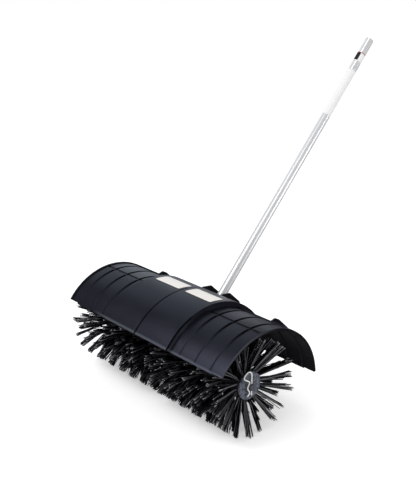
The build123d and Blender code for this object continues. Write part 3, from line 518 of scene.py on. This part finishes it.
FIRST_SEED = 11
# Painted sheen: strands whose shade value falls in this range are painted pale grey.
SHEEN_RANGE = (0.70, 1.0)
CUT_RANGE = (0.94, 1.0)
STRANDS = (TUFT_RINGS, TUFTS_PER_RING, BUNDLES, STRANDS_PER_BUNDLE)
ring = np.arange(TUFT_RINGS)[:, None, None, None]
ring_share = ring / (TUFT_RINGS - 1)


def strand_lines(draw, turn):
    """The middle lines of all strands on one drum, each bowed from the drum's wall to the brush's edge, as
    (place along X, sideways, height), and the angle by which each then turns round X. The tufts by the
    gearbox fan out wider, and none comes nearer to the middle than its neck allows."""
    per_tuft = (*STRANDS[:2], 1, 1)
    per_bundle = (*STRANDS[:3], 1)
    both_ways = (2, 1, 1, 1, 1)
    tuft = np.arange(TUFTS_PER_RING)[None, :, None, None]
    angle = 2 * np.pi * (tuft + 0.5 * (ring % 2)) / TUFTS_PER_RING
    angle = angle + np.radians(turn) + draw.normal(0, TUFT_SWING, per_tuft)
    cell_angle = draw.uniform(0, 2 * np.pi, STRANDS)
    cell_radius = np.sqrt(draw.uniform(LEAST_CELL, 1, STRANDS))
    cell = cell_radius * np.stack((np.cos(cell_angle), np.sin(cell_angle)))
    tuft_shift = draw.normal(0, TUFT_SPREAD, (2, *per_tuft))
    bundle_shift = draw.normal(0, 1, (2, *per_bundle)) * BUNDLE_SPREAD.reshape(both_ways)
    splay = draw.normal(0, SPLAY_SPREAD, (2, *STRANDS))
    root_x = FIRST_ROOT + ring_share * (LAST_ROOT - FIRST_ROOT)
    lean = ring_share * OUTER_LEAN - (1 - ring_share) * INNER_LEAN
    tuft_length = draw.uniform(*TUFT_TRIM, per_tuft)
    reach = BRUSH_RADIUS + LENGTH_SPREAD * (tuft_length - np.abs(draw.normal(0, STRAND_TRIM, STRANDS)))
    t = np.linspace(0, 1, STRAND_STEPS)
    tip = cell * TIP_SPREAD.reshape(both_ways) + tuft_shift + bundle_shift + splay
    tip[1] *= 1 + INNER_FAN * (1 - ring_share) ** INNER_FALL
    bow = draw.normal(0, BOW_SPREAD, (2, *STRANDS))
    root = cell * ROOT_SPREAD
    across = root[..., None] + (tip - root)[..., None] * t + 4 * bow[..., None] * t * (1 - t)
    x = np.maximum(root_x[..., None] + lean[..., None] * t + across[0], NECK_CLEAR)
    sideways = across[1]
    low = DRUM_RADIUS - SLEEVE_WALL / 2
    height = low + (np.sqrt(reach ** 2 - sideways[..., -1] ** 2) - low)[..., None] * t
    return x, sideways, height, angle


def bristle_strands(sign, turn, seed):
    """Points and faces of all strands on one drum, a square section carried along each middle line, with
    every point's shade value, raised at the drum's end for more painted sheen there, and its share of the
    way along the strand."""
    draw = np.random.default_rng(seed)
    x, sideways, height, angle = strand_lines(draw, turn)
    t = np.linspace(0, 1, STRAND_STEPS)
    half = STRAND_WIDTH / 2 * (1 - TIP_TAPER * t)
    corners = np.array([(-1, -1), (1, -1), (1, 1), (-1, 1)])
    spin = draw.uniform(0, np.pi / 2, STRANDS)[..., None, None]
    corner_x = half[:, None] * (corners[:, 0] * np.cos(spin) - corners[:, 1] * np.sin(spin))
    corner_side = half[:, None] * (corners[:, 0] * np.sin(spin) + corners[:, 1] * np.cos(spin))
    skin_x = x[..., None] + corner_x
    skin_side = sideways[..., None] + corner_side
    skin_height = np.broadcast_to(height[..., None], skin_x.shape)
    angle = angle[..., None, None]
    y = skin_height * np.cos(angle) - skin_side * np.sin(angle)
    z = skin_height * np.sin(angle) + skin_side * np.cos(angle)
    points = np.stack((sign * skin_x, y, z), -1).reshape(-1, 3) + brush_centre
    count = int(np.prod(STRANDS))
    per_strand = len(corners) * STRAND_STEPS
    walls = grid_faces(STRAND_STEPS, len(corners), wrap=True)
    tip_cap = np.arange(per_strand)[None, -len(corners):]
    strand = np.concatenate((walls, tip_cap))
    faces = (strand[None] + np.arange(count)[:, None, None] * per_strand).reshape(-1, 4)
    end_sheen_share = np.broadcast_to(ring_share ** END_FALL, STRANDS).ravel()
    shade = np.repeat(draw.uniform(0, 1, count) + END_SHEEN * end_sheen_share, per_strand)
    along_strand = np.tile(np.repeat(t, len(corners)), count)
    return points, faces if sign > 0 else faces[:, ::-1], shade, along_strand


def attribute(material, name):
    """A mesh attribute of the piece that wears a material, as a value."""
    return add_node(material, "ShaderNodeAttribute", attribute_name=name).outputs["Fac"]


bristle_material, bristle_shader = new_material("black_nylon_bristle")
strand_shade = attribute(bristle_material, "strand_shade")
strand_along = attribute(bristle_material, "strand_along")
# Painted sheen: a share of the strands is painted pale grey with a stronger specular level. Their cut ends
# are paler still as painted highlights, and the dark strands' cut ends are a little lighter.
sheen_share = blend_range(bristle_material, strand_shade, 0, 1, *SHEEN_RANGE)
strand_tone = blend_colours(bristle_material, sheen_share, (0.0012, 0.0013, 0.0018), (0.16, 0.165, 0.18))
cut_end = blend_range(bristle_material, strand_along, 0, 1, *CUT_RANGE)
cut_end_highlight = blend_colours(bristle_material, sheen_share, (0.012, 0.013, 0.016), (0.55, 0.56, 0.58))
wire(bristle_material, blend_colours(bristle_material, cut_end, strand_tone, cut_end_highlight),
     bristle_shader.inputs["Base Color"])
wire(bristle_material, blend_range(bristle_material, strand_shade, 0.32, 0.18),
     bristle_shader.inputs["Roughness"])
wire(bristle_material, blend_range(bristle_material, sheen_share, 0.12, 0.70),
     bristle_shader.inputs["Specular IOR Level"])
for seed, (side, sign) in enumerate(SIDES.items(), start=FIRST_SEED):
    points, faces, shade, along_strand = bristle_strands(sign, DRUM_TURN[side], seed)
    tufts = mesh_piece(f"bristle_tufts_{side}", points, faces, bristle_material)
    tufts.data.attributes.new("strand_shade", "FLOAT", "POINT").data.foreach_set("value", shade)
    tufts.data.attributes.new("strand_along", "FLOAT", "POINT").data.foreach_set("value", along_strand)
    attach(tufts, "brush_rotor")
    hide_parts(f"bristles_{side}")


# Hood: two halves moulded in black polypropylene with a fine grained face, a raised middle panel,
# pressed-in bead lines on the wings and fins behind, joined at a seam and screwed to the gearbox neck.
PANEL_RADIUS = 0.187
PANEL_END = 0.1245
PANEL_FLANK = (0.1325, 0.1365)
# Painted shadow: the width and the arc of a dark line painted by the panel's front edges.
EDGE_SHADOW_WIDTH = 0.0007
EDGE_SHADOW_ARC = np.radians((14, 24))
SEAM_LINE = (0.0024, 0.0033)
GROOVE_FLOOR = (0.1709, 0.1723)
# Painted shade in the grooves and on the flanks fades out over these angles towards the front.
GROOVE_SHADE_FADE = np.radians((10, 32))
# Painted light on the flanks: the arc over which it comes in towards the front, and how much of it the
# beads' flanks get from left to right.
FLANK_LIGHT_ARC = np.radians((8, 34))
BEAD_FLANK_LIGHT = (0.45, 0.95)
# Painted highlight along the hem: its angle, its fade and where it comes in from the left.
HEM_ANGLE = np.radians(52.7)
HEM_FADE = 0.016
HEM_HIGHLIGHT_START = (-0.20, -0.14)
# Painted highlight on the end rims: where it lies on the end faces and the arc where it shows.
RIM_FACE = (0.3096, 0.3098)
RIM_OUTER = (0.1714, 0.1726)
RIM_HIGHLIGHT_ARC = np.radians((-12, 16))
LOOKS_INWARD = (-0.3, 0.0)
LOOKS_ALONG = (0.15, 0.6)
HOOD_SETBACK = 0.0207
HOOD_DROP = 0.0309
HOOD_DARK = (0.0030, 0.0035, 0.0055)
HOOD_LIGHT = (0.0055, 0.0064, 0.0095)
# The flank grey is painted light, and the hem and rim greys are painted highlights.
FLANK_LIT_GREY = (0.030, 0.033, 0.041)
HEM_HIGHLIGHT = (0.057, 0.062, 0.076)
RIM_HIGHLIGHT = (0.047, 0.051, 0.062)
# Painted shade: a near-black tone for the hood's inner faces, and a deeper black for the grooves, the flanks
# at the top and the panel's edge lines, which also darkens the seam's joint.
INSIDE_SHADE = (0.014, 0.014, 0.017)
SEAM_AND_SHADE_BLACK = (0.0015, 0.0015, 0.002)
hood_centre = brush_centre + (0, HOOD_SETBACK, -HOOD_DROP)


def set_or_wire(material, sockets, values):
    """Give each socket its value: another node's output is linked, and a number or a vector is set."""
    for socket, value in zip(sockets, values):
        if isinstance(value, bpy.types.NodeSocket):
            wire(material, value, socket)
        else:
            socket.default_value = value


def reckon(material, operation, *values):
    """The result of a Math node on outputs or numbers."""
    node = add_node(material, "ShaderNodeMath", operation=operation)
    set_or_wire(material, node.inputs, values)
    return node.outputs["Value"]


def reckon_vector(material, operation, *values, result="Vector"):
    """The result of a Vector Math node on outputs or vectors."""
    node = add_node(material, "ShaderNodeVectorMath", operation=operation)
    set_or_wire(material, node.inputs, values)
    return node.outputs[result]


def component(material, vector, axis):
    """One component of a vector: X, Y or Z."""
    split = add_node(material, "ShaderNodeSeparateXYZ")
    wire(material, vector, split.inputs["Vector"])
    return split.outputs[axis]


def face_normal(material):
    """The direction in which each face looks."""
    return add_node(material, "ShaderNodeTexCoord").outputs["Normal"]


def hood_spoke(material):
    """The vector from the hood's axis, square to it, at each point of the hood."""
    from_axis = reckon_vector(material, "SUBTRACT", object_place(material), hood_centre)
    return reckon_vector(material, "MULTIPLY", from_axis, (0, 1, 1))


def hood_radius(material, spoke):
    """The distance from the hood's axis: the length of the spoke."""
    return reckon_vector(material, "LENGTH", spoke, result="Value")


def forward_angle(material, spoke):
    """The spoke's angle from the vertical towards the front, in radians."""
    forward = reckon(material, "MULTIPLY", component(material, spoke, "Y"), -1)
    return reckon(material, "ARCTAN2", forward, component(material, spoke, "Z"))


def along_axle(material):
    """The place along the axle, from the hood's seam to the right."""
    return component(material, object_place(material), "X")


def from_seam(material):
    """The distance from the hood's seam along the axle."""
    return reckon(material, "ABSOLUTE", along_axle(material))


def outward_share(material, spoke):
    """1 where a face looks away from the hood's axis and 0 where it looks towards it."""
    unit = reckon_vector(material, "NORMALIZE", spoke)
    facing = reckon_vector(material, "DOT_PRODUCT", unit, face_normal(material), result="Value")
    return blend_range(material, facing, 0, 1, *LOOKS_INWARD)


def level_share(material):
    """1 on faces that lie along the axle and 0 on faces that look along it."""
    along = reckon(material, "ABSOLUTE", component(material, face_normal(material), "X"))
    return blend_range(material, along, 1, 0, *LOOKS_ALONG)


def open_share(material, spoke):
    """0 in the seam's dark joint and where shade is painted: in the beads and the long grooves, on flanks
    that look along the axle, and as a painted shadow line by the panel's front edges. It is 1 elsewhere, and
    the painted shade in grooves and on flanks fades out towards the front."""
    above_groove = blend_range(material, hood_radius(material, spoke), 0, 1, *GROOVE_FLOOR)
    level = reckon(material, "MINIMUM", above_groove, level_share(material))
    angle = forward_angle(material, spoke)
    unshaded = reckon(material, "MAXIMUM", level, blend_range(material, angle, 0, 1, *GROOVE_SHADE_FADE))
    half_line = EDGE_SHADOW_WIDTH / 2
    at_edge = reckon(material, "COMPARE", from_seam(material), PANEL_END + half_line, half_line)
    edge_shadow = reckon(material, "MINIMUM", at_edge, blend_range(material, angle, 0, 1, *EDGE_SHADOW_ARC))
    unshaded = reckon(material, "MINIMUM", unshaded, blend_range(material, edge_shadow, 1, 0))
    beside_seam = blend_range(material, from_seam(material), 0, 1, *SEAM_LINE)
    return reckon(material, "MINIMUM", unshaded, beside_seam)


def lit_flank_share(material, spoke):
    """1 on the panel's flanks in the front, where light is painted on them as a paler grey, less on the
    beads' flanks and least on the left ones, and 0 elsewhere."""
    sideways = blend_range(material, level_share(material), 1, 0)
    panel_flank = blend_range(material, from_seam(material), 1, 0, *PANEL_FLANK)
    bead_flank = blend_range(material, along_axle(material), *BEAD_FLANK_LIGHT, -PANEL_END, PANEL_END)
    pale = reckon(material, "MAXIMUM", panel_flank, bead_flank)
    flank = reckon(material, "MINIMUM", sideways, pale)
    lit_towards_front = blend_range(material, forward_angle(material, spoke), 0, 1, *FLANK_LIGHT_ARC)
    return reckon(material, "MINIMUM", flank, lit_towards_front)


def hem_highlight_share(material, spoke):
    """1 on the lower edge of the hood's front, a painted highlight, and 0 above it and towards its left end.
    """
    low = blend_range(material, forward_angle(material, spoke), 0, 1, HEM_ANGLE - HEM_FADE, HEM_ANGLE)
    from_left = blend_range(material, along_axle(material), 0, 1, *HEM_HIGHLIGHT_START)
    return reckon(material, "MINIMUM", low, from_left)


def rim_highlight_share(material, spoke):
    """1 on the outer part of the hood's end faces in the front, a painted highlight, and 0 elsewhere."""
    at_end = blend_range(material, from_seam(material), 0, 1, *RIM_FACE)
    outer = blend_range(material, hood_radius(material, spoke), 0, 1, *RIM_OUTER)
    lit_towards_front = blend_range(material, forward_angle(material, spoke), 0, 1, *RIM_HIGHLIGHT_ARC)
    outer_end = reckon(material, "MINIMUM", at_end, outer)
    return reckon(material, "MINIMUM", outer_end, lit_towards_front)


hood_material, hood_shader = new_material("grained_black_plastic")
hood_place = object_place(hood_material)
hood_cloud = noise(hood_material, hood_place, scale=14, detail=6, roughness=0.6)
hood_grain = noise(hood_material, hood_place, scale=1400, detail=2)
spoke = hood_spoke(hood_material)
outside = outward_share(hood_material, spoke)
shown = reckon(hood_material, "MINIMUM", outside, open_share(hood_material, spoke))
hood_tone = blend_colours(hood_material, hood_cloud, HOOD_DARK, HOOD_LIGHT)
# Painted light: the flanks are paler towards the front.
hood_tone = blend_colours(hood_material, lit_flank_share(hood_material, spoke), hood_tone, FLANK_LIT_GREY)
# Painted highlight along the hem.
hood_tone = blend_colours(hood_material, hem_highlight_share(hood_material, spoke), hood_tone, HEM_HIGHLIGHT)
# Painted shade: the inner faces, grooves, top flanks and edge lines take these near-black tones and a weaker
# specular level below; the seam's dark joint takes the same black.
shade_tone = blend_colours(hood_material, outside, INSIDE_SHADE, SEAM_AND_SHADE_BLACK)
hood_tone = blend_colours(hood_material, shown, shade_tone, hood_tone)
# Painted highlight on the end rims.
hood_tone = blend_colours(hood_material, rim_highlight_share(hood_material, spoke), hood_tone, RIM_HIGHLIGHT)
wire(hood_material, hood_tone, hood_shader.inputs["Base Color"])
wire(hood_material, blend_range(hood_material, hood_cloud, 0.24, 0.46), hood_shader.inputs["Roughness"])
wire(hood_material, blend_range(hood_material, shown, 0.18, 0.51), hood_shader.inputs["Specular IOR Level"])
hood_shader.inputs["Specular Tint"].default_value = (0.65, 0.69, 1.0, 1)
roughen(hood_material, hood_shader, hood_grain, strength=0.25, distance=0.0002)
for side in SIDES:
    dress(f"hood_{side}", hood_material)


# Seam tongue: a thin lip moulded along the left half's edge. It fills the joint between the halves, from
# the front hem to the tube's notch and on from there to the rear hem.
TONGUE_WIDTH = 0.0008
TONGUE_LOW = 0.1840
TONGUE_HIGH = 0.1857
TONGUE_FRONT = 54.1
TONGUE_REAR = -85.4
TONGUE_STEPS = 33
NOTCH_RADIUS = 0.014


def on_hood(x, angle, radius):
    """Points about the hood's axis: a place along X, degrees from the vertical to the front, a radius."""
    turn = np.radians(angle)
    y = -radius * np.sin(turn)
    z = radius * np.cos(turn)
    return np.stack(np.broadcast_arrays(x, y, z), -1) + hood_centre


def tongue_strip(front, rear):
    """A rectangle of (place along X, radius) corners carried along the hood's arc from one angle to
    another, with both ends closed."""
    half = TONGUE_WIDTH / 2
    corners = np.array([(-half, TONGUE_LOW), (half, TONGUE_LOW), (half, TONGUE_HIGH), (-half, TONGUE_HIGH)])
    angles = np.linspace(front, rear, TONGUE_STEPS)[:, None]
    points = on_hood(corners[:, 0], angles, corners[:, 1])
    walls = grid_faces(TONGUE_STEPS, 4, wrap=True)[:, ::-1]
    last_ring = 4 * (TONGUE_STEPS - 1)
    ends = np.array([(0, 1, 2, 3), (last_ring + 3, last_ring + 2, last_ring + 1, last_ring)])
    return points, np.concatenate((walls, ends))


tube_lean = np.degrees(np.arctan2(-tube_axis[1], tube_axis[2]))
tube_offset = hood_centre @ tube_under
notch_front = tube_lean + np.degrees(np.arcsin((tube_offset + NOTCH_RADIUS) / TONGUE_HIGH))
notch_rear = tube_lean + np.degrees(np.arcsin((tube_offset - NOTCH_RADIUS) / TONGUE_HIGH))
for name, front, rear in (("front", TONGUE_FRONT, notch_front), ("rear", notch_rear, TONGUE_REAR)):
    tongue = mesh_piece(f"seam_tongue_{name}", *tongue_strip(front, rear), hood_material, smooth=False)
    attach(tongue, "frame")


# Hood labels: two bare cream vinyl labels with rounded corners, stuck on the raised panel beside the seam,
# both a little to the right.
LABEL_NEAR = 0.0121
LABEL_SHIFT = 0.0035
LABEL_LENGTH = 0.0975
LABEL_FRONT = 0.3
LABEL_DEPTH = 0.045
LABEL_CORNER = 0.003
LABEL_THICKNESS = 0.0005
LABEL_ROWS = 13
LABEL_COLUMNS = 25


def plate_grid(rows, columns, length, depth, corner):
    """Places along and across a rounded rectangle, row by row: rows are shorter where a corner cuts them."""
    across = np.linspace(-1, 1, rows)[:, None] * depth / 2
    into_corner = np.clip(np.abs(across) - (depth / 2 - corner), 0, corner)
    pull = corner - np.sqrt(corner ** 2 - into_corner ** 2)
    along = np.linspace(-1, 1, columns)[None, :] * (length / 2 - pull)
    return along, np.broadcast_to(across, along.shape)


label_material, label_shader = new_material("cream_vinyl")
label_cloud = noise(label_material, object_place(label_material), scale=60, detail=5)
vary(label_material, label_shader, label_cloud, dark=(0.83, 0.79, 0.745), light=(0.90, 0.87, 0.83),
     smoothest=0.35, roughest=0.5)
along, across = plate_grid(LABEL_ROWS, LABEL_COLUMNS, LABEL_LENGTH, LABEL_DEPTH, LABEL_CORNER)
label_angle = LABEL_FRONT - np.degrees((across + LABEL_DEPTH / 2) / PANEL_RADIUS)
for side, sign in SIDES.items():
    label_x = LABEL_SHIFT + sign * (LABEL_NEAR + LABEL_LENGTH / 2) + along
    label_points = on_hood(label_x, label_angle, PANEL_RADIUS + LABEL_THICKNESS)
    label_faces = grid_faces(LABEL_ROWS, LABEL_COLUMNS)[:, ::-1]
    label = mesh_piece(f"hood_label_{side}", label_points, label_faces, label_material)
    thicken(label, LABEL_THICKNESS)
    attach(label, "frame")
